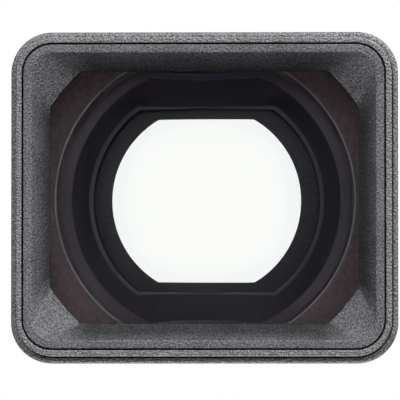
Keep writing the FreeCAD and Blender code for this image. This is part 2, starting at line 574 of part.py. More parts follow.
def lens_barrel():
    """Lens barrel: stepped truncated bore, screw flange and four ears, loaded from the front."""
    body = new_body("lens_barrel")
    pad(body, "flange", FLANGE_LEVEL, FLANGE_FRONT,
        rounded_rectangle, FLANGE_WIDTH, FLANGE_HEIGHT, FLANGE_CORNER)
    pad(body, "collar", FLANGE_FRONT, BARREL_TOP, cut_circle,
        f"({LENS_RADIUS} + lens_gap + barrel_wall)", FLANGE_HEIGHT, FLANGE_WIDTH)
    pad(body, "drum", DRUM_BACK, FLANGE_LEVEL, cut_circle,
        f"({SPACER_RADIUS} + lens_gap + drum_wall)", f"({SPACER_HEIGHT} + 2 * lens_gap + drum_wall)")
    pad(body, "tube", BARREL_BACK, DRUM_BACK, cut_circle, TUBE_RADIUS, TUBE_HEIGHT)
    pocket(body, "front_seat", BARREL_TOP, BARREL_SEAT, cut_circle, f"({LENS_RADIUS} + lens_gap)",
           f"({LENS_HEIGHT} + 2 * lens_gap)", f"({LENS_WIDTH} + 2 * lens_gap)")
    pocket(body, "spacer_bore", BARREL_SEAT, f"({SPACER_LEVEL} - lens_gap)", cut_circle,
           f"({SPACER_RADIUS} + lens_gap)", f"({SPACER_HEIGHT} + 2 * lens_gap)")
    pocket(body, "pair_bore", f"({SPACER_LEVEL} - lens_gap)", SHELF_FRONT, cut_circle,
           f"({PAIR_RADIUS} + lens_gap)", f"({PAIR_HEIGHT} + 2 * lens_gap)")
    pocket(body, "window", SHELF_FRONT, BARREL_BACK, cut_circle, WINDOW_RADIUS, WINDOW_HEIGHT)
    for side_x, side_y in QUADRANTS:
        pocket(body, "screw_hole", FLANGE_FRONT, FLANGE_LEVEL,
               circle_at, "(screw_diameter + screw_gap)", SCREW_X, SCREW_Y, side_x, side_y)


def front_spacer():
    """Front spacer and light baffle: sloping truncated mouth, nose that bears on the middle lens."""
    body = new_body("front_spacer")
    pad(body, "flange", SPACER_LEVEL, BARREL_SEAT, cut_circle, SPACER_RADIUS, SPACER_HEIGHT)
    pad(body, "nose", NOSE_BACK, SPACER_LEVEL, cut_circle,
        f"({PAIR_RADIUS} - lens_gap)", f"({PAIR_HEIGHT} - 2 * lens_gap)")
    foot = (cut_circle, FOOT_RADIUS, FOOT_HEIGHT)
    pocket(body, "foot_bore", FOOT_LEVEL, NOSE_BACK, *foot)
    funnel(body, "slope", (BARREL_SEAT, cut_circle, BAFFLE_RADIUS, BAFFLE_HEIGHT),
           (FOOT_LEVEL, *foot))
    hollow(body, "lens_side", "middle_lens_convex", MIDDLE_LEVEL, PAIR_RADIUS,
           f"({NOSE_BACK} - spacer_nose)")


def middle_lens():
    """Middle lens: thin meniscus with flats, bonded to the rear lens."""
    body = new_body("middle_lens")
    pad(body, "blank", PAIR_BACK, f"({MIDDLE_LEVEL} + lens_gap)", cut_circle,
        PAIR_RADIUS, PAIR_HEIGHT)
    hollow(body, "front_dome", "middle_lens_convex", MIDDLE_LEVEL, f"({PAIR_RADIUS} + lens_gap)",
           f"({MIDDLE_LEVEL} + middle_lens_thickness)")
    hollow(body, "rear_bowl", "bond_radius", BOND_LEVEL, f"({PAIR_RADIUS} + lens_gap)",
           f"({PAIR_BACK} - film_thickness)")


def rear_lens():
    """Rear lens: convex front under the cement, flat back."""
    body = new_body("rear_lens")
    pad(body, "blank", PAIR_BACK, BOND_LEVEL, cut_circle, PAIR_RADIUS, PAIR_HEIGHT)
    hollow(body, "front_dome", "(bond_radius - bond_thickness)", f"({BOND_LEVEL} - bond_thickness)",
           f"({PAIR_RADIUS} + lens_gap)", f"({BOND_LEVEL} + film_thickness)")


def aperture_stop():
    """Blackened film behind the rear lens, with the truncated clear opening."""
    body = new_body("aperture_stop")
    pad(body, "film", SHELF_FRONT, PAIR_BACK, cut_circle,
        f"({PAIR_RADIUS} - lens_gap)", f"({PAIR_HEIGHT} - 2 * lens_gap)")
    pocket(body, "opening", PAIR_BACK, SHELF_FRONT, cut_circle, STOP_RADIUS, STOP_HEIGHT)


def rear_plate():
    """Rear plate that closes the magnet pockets, with a truncated window."""
    body = new_body("rear_plate")
    pad(body, "sheet", "pad_thickness", FLOOR_BACK, rounded_rectangle,
        f"({RECESS_WIDTH} - 2 * plate_gap)", f"({RECESS_HEIGHT} - 2 * plate_gap)",
        f"({RECESS_CORNER} - plate_gap)")
    pocket(body, "window", FLOOR_BACK, "pad_thickness", cut_circle, WINDOW_RADIUS, WINDOW_HEIGHT)


def seat_pad():
    """Soft pad that meets the camera."""
    body = new_body("seat_pad")
    pad(body, "sheet", "0", "pad_thickness", rounded_rectangle,
        f"({RECESS_WIDTH} - 4 * plate_gap)", f"({RECESS_HEIGHT} - 4 * plate_gap)",
        f"({RECESS_CORNER} - 2 * plate_gap)")
    pocket(body, "window", "pad_thickness", "0", cut_circle,
           f"({WINDOW_RADIUS} + pad_margin)", f"({WINDOW_HEIGHT} + 2 * pad_margin)")


def magnets():
    """Four disc magnets, one in each corner of the floor."""
    places = zip(("upper_right", "upper_left", "lower_left", "lower_right"), QUADRANTS)
    for corner, (side_x, side_y) in places:
        body = new_body(f"magnet_{corner}")
        disc = pad(body, "disc", FLOOR_BACK, MAGNET_FRONT,
                   circle_at, "magnet_diameter", MAGNET_X, MAGNET_Y, side_x, side_y)
        document.recompute()
        edges = level_edges(disc, FLOOR_BACK) + level_edges(disc, MAGNET_FRONT)
        dress(body, "Chamfer", "edge", disc, edges, "magnet_edge")


def cross(sketch, side_x, side_y):
    """Draw the outline of a cross recess round a screw centre."""
    arm, half = "slot_length / 2", "slot_width / 2"
    ring = []
    for turn in range(4):
        for along, across in ((arm, f"(-{half})"), (arm, half), (half, half)):
            steps = {0: (along, across), 1: (f"(-{across})", along),
                     2: (f"(-{along})", f"(-{across})"), 3: (across, f"(-{along})")}
            ring.append(steps[turn])
    texts = [(f"({side_x} * {SCREW_X} + {x})", f"({side_y} * {SCREW_Y} + {y})") for x, y in ring]
    points = [Vector(measure(x), measure(y), 0) for x, y in texts]
    lines = []
    for number, point in enumerate(points):
        line = sketch.addGeometry(Part.LineSegment(point, points[(number + 1) % len(points)]))
        bind(sketch, Sketcher.Constraint("DistanceX", *ORIGIN, line, START, point.x), texts[number][0])
        bind(sketch, Sketcher.Constraint("DistanceY", *ORIGIN, line, START, point.y), texts[number][1])
        lines.append(line)
    for number, line in enumerate(lines):
        following = lines[(number + 1) % len(lines)]
        sketch.addConstraint(Sketcher.Constraint("Coincident", line, END, following, START))


def barrel_screws():
    """Four pan-head screws that hold the barrel flange on the bosses."""
    body = new_body("barrel_screws")
    head_top = f"({FLANGE_FRONT} + screw_head_height)"
    for side_x, side_y in QUADRANTS:
        corner = (SCREW_X, SCREW_Y, side_x, side_y)
        pad(body, "head", FLANGE_FRONT, head_top, circle_at, "screw_head", *corner)
        pad(body, "shank", f"({PILOT_END} + pilot_gap)", FLANGE_FRONT,
            circle_at, "screw_diameter", *corner)
        pocket(body, "recess", head_top, f"({head_top} - slot_depth)", cross, side_x, side_y)


def hand_over():
    """Recompute, check every object, turn each piece upright and write it out."""
    document.recompute()
    for item in document.Objects:
        if "Invalid" in item.State or "Error" in item.State:
            raise RuntimeError(f"{item.Label} failed: {item.State}")
    os.makedirs("parts", exist_ok=True)
    for body in nodes:
        body.Placement = UPRIGHT
        shape = body.Shape
        if shape.isNull() or not shape.isValid():
            raise RuntimeError(f"{body.Label} has no valid shape")
        print(f"{body.Label}: {len(shape.Solids)} solid, {shape.Volume:.3f} mm3")
        shape.exportStep(f"parts/{body.Label}.step")


rear_shell()
front_shell()
hood()
hood_gasket()
front_lens()
front_stop()
lens_barrel()
front_spacer()
middle_lens()
rear_lens()
aperture_stop()
magnets()
rear_plate()
seat_pad()
barrel_screws()
hand_over()
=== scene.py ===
"""Looks of a magnetic wide-angle conversion lens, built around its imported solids."""

import logging
import math
from dataclasses import dataclass
from enum import Enum

import bmesh
import bpy
from mathutils import Matrix, Vector


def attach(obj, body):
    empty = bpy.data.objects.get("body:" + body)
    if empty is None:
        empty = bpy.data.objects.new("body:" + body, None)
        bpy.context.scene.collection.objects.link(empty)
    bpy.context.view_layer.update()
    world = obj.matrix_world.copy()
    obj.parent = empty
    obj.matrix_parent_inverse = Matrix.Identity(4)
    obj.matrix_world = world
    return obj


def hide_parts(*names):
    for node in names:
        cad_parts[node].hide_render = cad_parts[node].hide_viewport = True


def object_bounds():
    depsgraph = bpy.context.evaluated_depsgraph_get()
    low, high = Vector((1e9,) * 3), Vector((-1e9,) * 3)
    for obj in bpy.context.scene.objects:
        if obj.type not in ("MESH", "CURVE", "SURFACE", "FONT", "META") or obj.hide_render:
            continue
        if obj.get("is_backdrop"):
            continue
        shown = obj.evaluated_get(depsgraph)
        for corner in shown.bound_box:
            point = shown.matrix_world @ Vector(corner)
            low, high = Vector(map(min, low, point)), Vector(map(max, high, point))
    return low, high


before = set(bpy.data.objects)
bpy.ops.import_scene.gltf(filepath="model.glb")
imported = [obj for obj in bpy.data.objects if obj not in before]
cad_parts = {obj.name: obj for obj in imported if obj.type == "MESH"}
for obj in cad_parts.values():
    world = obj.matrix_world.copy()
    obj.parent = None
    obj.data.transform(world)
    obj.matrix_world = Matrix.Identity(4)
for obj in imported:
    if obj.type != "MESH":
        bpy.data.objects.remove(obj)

MM = 0.001
BODY = "root"
UPRIGHT = Matrix.Rotation(math.radians(90), 4, "X") @ Matrix.Scale(MM, 4)
LOG = logging.getLogger("converter")

MERGE = 1e-5                  # distance in millimetres within which two points are one
CREASE = math.radians(28)     # an edge that folds further than this is sharp
ROUND_PROFILE = 0.5           # bevel profile of a round corner
CUT_PROFILE = 0.28            # bevel profile of a cut corner, almost straight
EDGE_STEPS = 4                # steps across the radius of an edge
SIDE_SLOPE = 0.1              # a face whose normal leans less than this to the axis is a side face
BLACK = (0.0, 0.0, 0.0, 1.0)
WHITE = (1.0, 1.0, 1.0, 1.0)


class Outline(Enum):
    """The shapes that a section across the optical axis can have."""

    ROUNDED = "rectangle with round corners"
    CORNERED = "rectangle with its corners cut off straight"
    TRUNCATED = "circle with flat top and bottom"


@dataclass(frozen=True)
class Section:
    """One closed outline across the optical axis, in millimetres.

    Width and height are whole sizes. Corner is the radius or the cut along the width,
    and corner_y the cut along the height. Edge is the radius that the finished piece
    has along this outline.
    """

    outline: Outline
    width: float
    height: float
    level: float
    corner: float = 0.0
    corner_y: float = 0.0
    edge: float = 0.0


def rounded(width: float, height: float, corner: float, level: float, edge: float = 0.0) -> Section:
    """Describe a rectangle with round corners.

    Args:
        width: its whole width.
        height: its whole height.
        corner: radius of its corners.
        level: where it lies along the optical axis.
        edge: radius that the finished piece has along it.

    Returns:
        The section.
    """
    return Section(Outline.ROUNDED, width, height, level, corner, corner, edge)


def truncated(radius: float, height: float, level: float, edge: float = 0.0) -> Section:
    """Describe a circle with flat top and bottom.

    Args:
        radius: the circle's radius.
        height: distance between the flats.
        level: where it lies along the optical axis.
        edge: radius that the finished piece has along it.

    Returns:
        The section.
    """
    return Section(Outline.TRUNCATED, 2 * radius, height, level, edge=edge)


def verts_of(edges: list[bmesh.types.BMEdge]) -> set[bmesh.types.BMVert]:
    """Collect the ends of some edges.

    Args:
        edges: the edges.

    Returns:
        Their vertices, each once.
    """
    return {vert for edge in edges for vert in edge.verts}


def sag(radius: float, reach_squared: float) -> float:
    """Tell how far a spherical surface falls back behind its vertex.

    Args:
        radius: the sphere's radius.
        reach_squared: distance from the axis, squared.

    Returns:
        The distance along the axis.
    """
    return radius - math.sqrt(radius ** 2 - reach_squared)


class Blank:
    """A piece in the making, in millimetres: X right, Y up, Z along the optical axis to the front."""

    def __init__(self, corner_steps: int = 24) -> None:
        """Start with nothing.

        Args:
            corner_steps: how many edges each corner of an outline has.
        """
        self.bm = bmesh.new()
        self.corner_steps = corner_steps

    def loop(self, section: Section, level: float) -> list[bmesh.types.BMEdge]:
        """Draw one outline.

        Args:
            section: the outline.
            level: where it is drawn.

        Returns:
            Its edges.
        """
        count = 4 * (self.corner_steps + 1)
        if section.outline is Outline.TRUNCATED:
            made = bmesh.ops.create_circle(self.bm, cap_ends=False, radius=section.width / 2, segments=count)
            verts = made["verts"]
            for vert in verts:
                vert.co.y = max(-section.height / 2, min(section.height / 2, vert.co.y))
        else:
            made = bmesh.ops.create_grid(self.bm, x_segments=1, y_segments=1, size=0.5)
            ratio = section.corner / section.corner_y
            size = (section.width, section.height * ratio, 1.0)
            bmesh.ops.scale(self.bm, vec=size, verts=made["verts"])
            profile = ROUND_PROFILE if section.outline is Outline.ROUNDED else CUT_PROFILE
            cut = bmesh.ops.bevel(
                self.bm, geom=made["verts"], offset=section.corner, offset_type="OFFSET",
                segments=self.corner_steps, profile=profile, affect="VERTICES", material=-1,
            )
            verts = cut["verts"]
            bmesh.ops.delete(self.bm, geom=verts[0].link_faces[:], context="FACES_ONLY")
            bmesh.ops.scale(self.bm, vec=(1.0, 1.0 / ratio, 1.0), verts=verts)
        bmesh.ops.translate(self.bm, vec=(0, 0, level), verts=verts)
        return list({edge for vert in verts for edge in vert.link_edges})

    def skin(self, sections: list[Section]) -> list[list[bmesh.types.BMEdge]]:
        """Join outlines one after another and close the last to the first.

        They are joined as a stack, one above another, and then moved to their levels, because
        two outlines in one plane would be joined askew.

        Args:
            sections: the outlines round the piece's wall.

        Returns:
            The edges of each outline.
        """
        loops = [self.loop(section, number) for number, section in enumerate(sections)]
        for here, following in zip(loops, loops[1:] + loops[:1]):
            bmesh.ops.bridge_loops(self.bm, edges=here + following)
        for number, (section, edges) in enumerate(zip(sections, loops)):
            bmesh.ops.translate(self.bm, vec=(0, 0, section.level - number), verts=list(verts_of(edges)))
        return loops

    def soften(self, sections: list[Section], loops: list[list[bmesh.types.BMEdge]]) -> None:
        """Round each outline that has an edge radius.

        Args:
            sections: the outlines.
            loops: the edges of each outline.
        """
        for section, edges in zip(sections, loops):
            if section.edge:
                bmesh.ops.bevel(
                    self.bm, geom=edges, offset=section.edge, offset_type="OFFSET", segments=EDGE_STEPS,
                    profile=ROUND_PROFILE, affect="EDGES", material=-1, clamp_overlap=True,
                )

    def turn(self, points: list[Vector], steps: int) -> None:
        """Spin a profile once round the optical axis.

        Args:
            points: the profile, as radius and level.
            steps: how many steps a full turn has.
        """
        verts = [self.bm.verts.new((point.x, 0.0, point.y)) for point in points]
        edges = [self.bm.edges.new(pair) for pair in zip(verts, verts[1:])]
        bmesh.ops.spin(
            self.bm, geom=verts + edges, cent=(0, 0, 0), axis=(0, 0, 1), dvec=(0, 0, 0),
            angle=2 * math.pi, steps=steps, use_merge=True, use_duplicate=False,
        )
        bmesh.ops.remove_doubles(self.bm, verts=self.bm.verts[:], dist=MERGE)

    def slice_off(self, direction: tuple[float, float, float], distance: float) -> None:
        """Cut the piece flat and close the cut.

        Args:
            direction: outward normal of the cut.
            distance: how far the cut is from the axis.
        """
        geom = self.bm.verts[:] + self.bm.edges[:] + self.bm.faces[:]
        where = Vector(direction) * distance
        cut = bmesh.ops.bisect_plane(
            self.bm, geom=geom, dist=MERGE, plane_co=where, plane_no=direction, clear_outer=True,
        )
        rim = [item for item in cut["geom_cut"] if isinstance(item, bmesh.types.BMEdge)]
        bmesh.ops.holes_fill(self.bm, edges=rim, sides=0)

    def finish(self, name: str, materials: list[bpy.types.Material],
               weighted: bool = True) -> bpy.types.Object:
        """Turn the piece upright and make it an object.

        Args:
            name: the object's name.
            materials: its materials, by face index.
            weighted: whether its large faces keep their own shading up to their edges.

        Returns:
            The finished object.
        """
        bmesh.ops.recalc_face_normals(self.bm, faces=self.bm.faces[:])
        self.bm.transform(UPRIGHT)
        for face in self.bm.faces:
            face.smooth = True
        for edge in self.bm.edges:
            if edge.is_manifold and edge.calc_face_angle(0.0) > CREASE:
                edge.smooth = False
        mesh = bpy.data.meshes.new(name)
        self.bm.to_mesh(mesh)
        self.bm.free()
        for material in materials:
            mesh.materials.append(material)
        piece = bpy.data.objects.new(name, mesh)
        bpy.context.scene.collection.objects.link(piece)
        if weighted:
            piece.modifiers.new("weighted_normals", "WEIGHTED_NORMAL").keep_sharp = True
        return piece


def stand_in(piece: bpy.types.Object, slot: str, *nodes: str) -> None:
    """Let a piece ride on the body and take the place of nodes.

    Args:
        piece: the piece.
        slot: not used; it would name the piece's material slot.
        nodes: the nodes whose place it takes.
    """
    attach(piece, BODY)
    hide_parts(*nodes)
    LOG.info("%s stands for %s", piece.name, ", ".join(nodes))


class NodeGroups:
    """Shader node groups that several finishes share.

    Scales are in cells per metre.
    """

    PEBBLE_SMOOTHNESS = 0.6
    SPECK_DETAIL = 2.0
    DRIFT_DETAIL = 3.0
    DRIFT_SCALE = 400.0
    DRIFT_SHARE = 0.2
    STREAK_SCALE = 180.0
    STREAK_DISTORTION = 1.5
    DUST_SCALE = 2500.0
    DUST_SIZE = 0.12

    @staticmethod
    def start(name: str, inputs: dict[str, float], outputs: dict[str, str]) -> tuple:
        """Make an empty group.

        Args:
            name: the group's name.
            inputs: number inputs and their defaults.
            outputs: outputs and their socket types.

        Returns:
            The group, its input node and its output node.
        """
        group = bpy.data.node_groups.new(name, "ShaderNodeTree")
        for label, value in inputs.items():
            socket = group.interface.new_socket(label, in_out="INPUT", socket_type="NodeSocketFloat")
            socket.default_value = value
        for label, kind in outputs.items():
            group.interface.new_socket(label, in_out="OUTPUT", socket_type=kind)
        return group, group.nodes.new("NodeGroupInput"), group.nodes.new("NodeGroupOutput")

    @classmethod
    def grain(cls) -> bpy.types.NodeTree:
        """Make or find the moulded grain: packed rounded pebbles with a slow drift of tone.

        Returns:
            The group, with outputs for a tone mask and a height.
        """
        name = "moulded_grain"
        if name in bpy.data.node_groups:
            return bpy.data.node_groups[name]
        outputs = {"Tone": "NodeSocketFloat", "Height": "NodeSocketFloat"}
        group, inlet, outlet = cls.start(name, {"Cells": 1.0, "Drift": cls.DRIFT_SCALE}, outputs)
        nodes, links = group.nodes, group.links
        place = nodes.new("ShaderNodeTexCoord")
        pebbles = nodes.new("ShaderNodeTexVoronoi")
        pebbles.feature = "SMOOTH_F1"
        pebbles.inputs["Smoothness"].default_value = cls.PEBBLE_SMOOTHNESS
        specks = nodes.new("ShaderNodeTexNoise")
        specks.inputs["Detail"].default_value = cls.SPECK_DETAIL
        drift = nodes.new("ShaderNodeTexNoise")
        drift.inputs["Detail"].default_value = cls.DRIFT_DETAIL
        height = nodes.new("ShaderNodeMath")
        height.operation = "SUBTRACT"
        tone = nodes.new("ShaderNodeMath")
        tone.operation = "MULTIPLY_ADD"
        tone.inputs[1].default_value = cls.DRIFT_SHARE
        for texture, label in ((pebbles, "Cells"), (specks, "Cells"), (drift, "Drift")):
            links.new(place.outputs["Object"], texture.inputs["Vector"])
            links.new(inlet.outputs[label], texture.inputs["Scale"])
        links.new(specks.outputs["Fac"], height.inputs[0])
        links.new(pebbles.outputs["Distance"], height.inputs[1])
        links.new(drift.outputs["Fac"], tone.inputs[0])
        links.new(specks.outputs["Fac"], tone.inputs[2])
        links.new(tone.outputs[0], outlet.inputs["Tone"])
        links.new(height.outputs[0], outlet.inputs["Height"])
        return group

    @classmethod
    def dust(cls) -> bpy.types.NodeTree:
        """Make or find the dust: sparse fine specks with faint wipe streaks.

        Returns:
            The group, with a mask output.
        """
        name = "fine_dust"
        if name in bpy.data.node_groups:
            return bpy.data.node_groups[name]
        inputs = {"Cells": cls.DUST_SCALE, "Amount": 1.0}
        group, inlet, outlet = cls.start(name, inputs, {"Mask": "NodeSocketFloat"})
        nodes, links = group.nodes, group.links
        place = nodes.new("ShaderNodeTexCoord")
        specks = nodes.new("ShaderNodeTexVoronoi")
        streaks = nodes.new("ShaderNodeTexNoise")
        streaks.inputs["Scale"].default_value = cls.STREAK_SCALE
        streaks.inputs["Distortion"].default_value = cls.STREAK_DISTORTION
        near = nodes.new("ShaderNodeMath")
        near.operation = "LESS_THAN"
        near.inputs[1].default_value = cls.DUST_SIZE
        mask = nodes.new("ShaderNodeMath")
        mask.operation = "MULTIPLY"
        amount = nodes.new("ShaderNodeMath")
        amount.operation = "MULTIPLY"
        links.new(place.outputs["Object"], specks.inputs["Vector"])
        links.new(place.outputs["Object"], streaks.inputs["Vector"])
        links.new(inlet.outputs["Cells"], specks.inputs["Scale"])
        links.new(specks.outputs["Distance"], near.inputs[0])
        links.new(near.outputs[0], mask.inputs[0])
        links.new(streaks.outputs["Fac"], mask.inputs[1])
        links.new(mask.outputs[0], amount.inputs[0])
        links.new(inlet.outputs["Amount"], amount.inputs[1])
        links.new(amount.outputs[0], outlet.inputs["Mask"])
        return group


def start_material(name: str) -> tuple[bpy.types.Material, bpy.types.Node]:
    """Make a material.

    Args:
        name: the material's name.

    Returns:
        The material and its surface shader.
    """
    material = bpy.data.materials.new(name)
    material.use_nodes = True
    return material, material.node_tree.nodes["Principled BSDF"]


def add_ramp(material: bpy.types.Material, source: bpy.types.NodeSocket, low: tuple, high: tuple,
             target: bpy.types.NodeSocket, reach: tuple[float, float]) -> None:
    """Lead a mask through a two-colour ramp to a shader socket.

    Args:
        material: the material.
        source: the mask, from 0 to 1.
        low: colour at the low end.
        high: colour at the high end.
        target: the socket that takes the colour.
        reach: where in the mask the two ends are.
    """
    ramp = material.node_tree.nodes.new("ShaderNodeValToRGB")
    ramp.color_ramp.elements[0].position = reach[0]
    ramp.color_ramp.elements[1].position = reach[1]
    ramp.color_ramp.elements[0].color = (*low, 1.0)
    ramp.color_ramp.elements[1].color = (*high, 1.0)
    material.node_tree.links.new(source, ramp.inputs["Fac"])
    material.node_tree.links.new(ramp.outputs["Color"], target)


# Where in the grain's tone its two colours lie, and between which angles of view the painted shade on steep
# walls sets in.
TONE_REACH = (0.45, 0.75)
PAINTED_SHADE_FACING = (0.28, 0.46)

DUST_COLOUR = (0.8, 0.8, 0.78)
DUST_AMOUNT = 0.03


@dataclass(frozen=True)
class GrainedFinish:
    """An opaque finish with a moulded, blasted or satin grain.

    Colours are linear. Grain is the size of one pebble and depth its height, in
    millimetres. Its last field is a painted shade: the share of its tone that is left on
    steep walls, where the colour is darkened as if the grain's tips hid its lit sides from the viewer.
    """

    name: str
    low: tuple[float, float, float]
    high: tuple[float, float, float]
    roughness: tuple[float, float]
    grain: float
    depth: float
    metallic: float = 0.0
    specular: float = 0.5
    painted_shade: float = 1.0

    def material(self) -> bpy.types.Material:
        """Build the finish once.

        Returns:
            The material.
        """
        if self.name in bpy.data.materials:
            return bpy.data.materials[self.name]
        material, shader = start_material(self.name)
        nodes, links = material.node_tree.nodes, material.node_tree.links
        grain = nodes.new("ShaderNodeGroup")
        grain.node_tree = NodeGroups.grain()
        grain.inputs["Cells"].default_value = 1.0 / (self.grain * MM)
        colour = shader.inputs["Base Color"]
        add_ramp(material, grain.outputs["Tone"], self.low, self.high, colour, TONE_REACH)
        if self.painted_shade < 1.0:
            self.darken(material, colour)
        spread = nodes.new("ShaderNodeMapRange")
        spread.inputs["To Min"].default_value = self.roughness[0]
        spread.inputs["To Max"].default_value = self.roughness[1]
        links.new(grain.outputs["Tone"], spread.inputs["Value"])
        links.new(spread.outputs["Result"], shader.inputs["Roughness"])
        bump = nodes.new("ShaderNodeBump")
        bump.inputs["Distance"].default_value = self.depth * MM
        links.new(grain.outputs["Height"], bump.inputs["Height"])
        links.new(bump.outputs["Normal"], shader.inputs["Normal"])
        shader.inputs["Metallic"].default_value = self.metallic
        shader.inputs["Specular IOR Level"].default_value = self.specular
        return material

    def darken(self, material: bpy.types.Material, target: bpy.types.NodeSocket) -> None:
        """Paint shade into the colour that a socket takes where the surface is seen obliquely.

        Args:
            material: the material.
            target: the colour socket, already linked.
        """
        nodes, links = material.node_tree.nodes, material.node_tree.links
        angle = nodes.new("ShaderNodeLayerWeight")
        share = nodes.new("ShaderNodeMapRange")
        share.inputs["From Min"].default_value = PAINTED_SHADE_FACING[0]
        share.inputs["From Max"].default_value = PAINTED_SHADE_FACING[1]
        share.inputs["To Min"].default_value = 1.0
        share.inputs["To Max"].default_value = self.painted_shade
        mix = nodes.new("ShaderNodeMix")
        mix.data_type = "RGBA"
        links.new(angle.outputs["Facing"], share.inputs["Value"])
        links.new(share.outputs["Result"], mix.inputs["Factor"])
        links.new(target.links[0].from_socket, mix.inputs["B"])
        mix.inputs["A"].default_value = BLACK
        links.new(mix.outputs["Result"], target)


@dataclass(frozen=True)
class CoatedGlass:
    """Optical glass with an anti-reflection film on its surfaces.

    Index is the glass's refractive index and film_index the film's. Film is the film's
    thickness in nanometres. Tint colours what is seen through it, glance what it mirrors.
    """

    name: str
    index: float
    tint: tuple[float, float, float]
    film: float
    film_index: float
    glance: tuple[float, float, float]

    def material(self) -> bpy.types.Material:
        """Build the glass once.

        Returns:
            The material.
        """
        if self.name in bpy.data.materials:
            return bpy.data.materials[self.name]
        material, shader = start_material(self.name)
        nodes, links = material.node_tree.nodes, material.node_tree.links
        dust = nodes.new("ShaderNodeGroup")
        dust.node_tree = NodeGroups.dust()
        dust.inputs["Amount"].default_value = DUST_AMOUNT
        colour = shader.inputs["Base Color"]
        add_ramp(material, dust.outputs["Mask"], self.tint, DUST_COLOUR, colour, (0.0, 1.0))
        shader.inputs["Roughness"].default_value = 0.0
        shader.inputs["IOR"].default_value = self.index
        shader.inputs["Transmission Weight"].default_value = 1.0
        shader.inputs["Specular Tint"].default_value = (*self.glance, 1.0)
        shader.inputs["Thin Film Thickness"].default_value = self.film
        shader.inputs["Thin Film IOR"].default_value = self.film_index
        return material


class Finishes:
    """All finishes of the converter."""

    SHELL = GrainedFinish(
        "moulded_shell", low=(0.007, 0.007, 0.0075), high=(0.044, 0.044, 0.047),
        roughness=(0.42, 0.52), grain=0.15, depth=0.08, specular=0.35,
    )
    # The hood's walls get painted shade: their colour darkens where they are seen obliquely.
    HOOD = GrainedFinish(
        "moulded_hood", low=(0.018, 0.018, 0.019), high=(0.055, 0.055, 0.059),
        roughness=(0.5, 0.6), grain=0.15, depth=0.08, specular=0.0, painted_shade=0.3,
    )
    GASKET = GrainedFinish(
        "black_gasket", low=(0.006, 0.006, 0.006), high=(0.012, 0.012, 0.012),
        roughness=(0.7, 0.85), grain=0.1, depth=0.005,
    )
    FILM = GrainedFinish(
        "blackened_film", low=(0.033, 0.031, 0.037), high=(0.05, 0.046, 0.055),
        roughness=(0.5, 0.65), grain=0.06, depth=0.002, specular=0.1,
    )
    STOP = GrainedFinish(
        "blackened_stop", low=(0.0264, 0.0336, 0.051), high=(0.0336, 0.0434, 0.064),
        roughness=(0.5, 0.65), grain=0.15, depth=0.002, specular=0.1,
    )
    BAFFLE = GrainedFinish(
        "black_baffle", low=(0.009, 0.009, 0.0095), high=(0.013, 0.013, 0.0135),
        roughness=(0.45, 0.6), grain=0.06, depth=0.003, specular=0.06,
    )
    # A lighter copy of the baffle's black for the foot's chamfer: a painted highlight standing in for the
    # glint of that edge.
    FOOT_HIGHLIGHT = GrainedFinish(
        "baffle_edge", low=(0.036, 0.04, 0.045), high=(0.054, 0.058, 0.064),
        roughness=(0.45, 0.6), grain=0.15, depth=0.003, specular=0.06,
    )
    BARREL = GrainedFinish(
        "black_anodised", low=(0.014, 0.014, 0.015), high=(0.026, 0.026, 0.028),
        roughness=(0.35, 0.5), grain=0.08, depth=0.003,
    )
    # Blackening ink on the lens rims and the front lens's rear annulus. Its brownish tint and lightness are
    # partly a painted reflection of the coated front surface.
    INK_AND_REFLECTION = GrainedFinish(
        "lens_edge_ink", low=(0.042, 0.031, 0.032), high=(0.064, 0.049, 0.053),
        roughness=(0.6, 0.8), grain=0.4, depth=0.003, specular=0.1,
    )
    GROUND = GrainedFinish(
        "ground_glass_edge", low=(0.15, 0.165, 0.165), high=(0.19, 0.21, 0.21),
        roughness=(0.5, 0.7), grain=0.05, depth=0.004,
    )
    PLATE = GrainedFinish(
        "satin_black_plate", low=(0.02, 0.02, 0.021), high=(0.034, 0.034, 0.036),
        roughness=(0.35, 0.5), grain=0.12, depth=0.006,
    )
    PAD = GrainedFinish(
        "soft_black_pad", low=(0.014, 0.014, 0.014), high=(0.03, 0.03, 0.03),
        roughness=(0.8, 0.95), grain=0.1, depth=0.02,
    )
    NICKEL = GrainedFinish(
        "nickel_plating", low=(0.6, 0.57, 0.53), high=(0.75, 0.72, 0.68),
        roughness=(0.15, 0.3), grain=0.3, depth=0.002, metallic=1.0,
    )
    SCREW = GrainedFinish(
        "blackened_steel", low=(0.05, 0.05, 0.055), high=(0.1, 0.1, 0.105),
        roughness=(0.3, 0.45), grain=0.1, depth=0.003, metallic=1.0,
    )
    FRONT_GLASS = CoatedGlass(
        "coated_front", index=1.72, tint=(0.985, 0.985, 0.985),
        film=105.0, film_index=1.32, glance=(1.0, 1.0, 1.0),
    )
    REAR_GLASS = CoatedGlass(
        "coated_middle", index=1.62, tint=(0.985, 0.99, 0.985),
        film=105.0, film_index=1.32, glance=(0.35, 0.45, 0.65),
    )
    LAST_GLASS = CoatedGlass(
        "coated_rear", index=1.72, tint=(0.985, 0.99, 0.985),
        film=105.0, film_index=1.32, glance=(0.35, 0.45, 0.65),
    )


